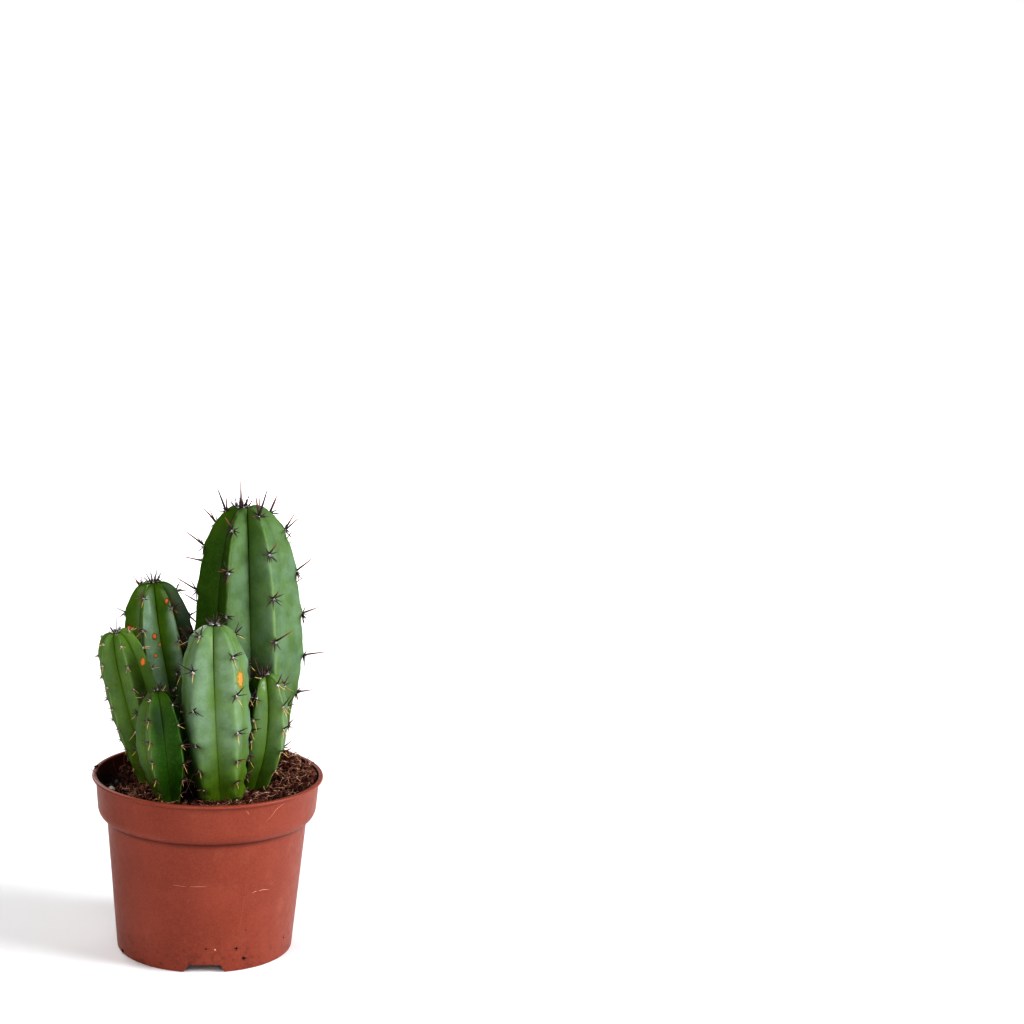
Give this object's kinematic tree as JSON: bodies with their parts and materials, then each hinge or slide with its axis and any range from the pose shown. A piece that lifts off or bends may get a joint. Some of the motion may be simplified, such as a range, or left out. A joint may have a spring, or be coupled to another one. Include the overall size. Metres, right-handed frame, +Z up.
{
  "type": "potted polaskia chula cactus",
  "caption": "Columnar cactus with upright ribbed stems, growing in soil in a round, tapered plastic nursery pot with a wide band, a rolled lip and drain holes.",
  "frame": {"origin": "centre of the pot's foot plane, where the pot stands on a surface", "axes": "+Z up along the pot's axis, -Y towards the front, where the middle stem stands, +X to the right seen from the front"},
  "size_m": [0.12, 0.12, 0.2297],
  "materials": {
    "pot_plastic": "satin, with a fine speckle, scuffs and specks of dirt",
    "soil": "matte, loose fibrous peat",
    "stem": "satin skin with a pale waxy bloom",
    "stone": "matte"
  },
  "bodies": {
    "root": {"pot": "pot_plastic", "soil": "soil", "stem_tall": "stem", "stem_back": "stem", "stem_left": "stem", "stem_front": "stem", "stem_front_left": "stem", "stem_right": "stem", "stem_hidden": "stem", "stone_pale": "stone", "stone_dark": "stone", "stone_grey": "stone"}
  },
  "joints": []
}
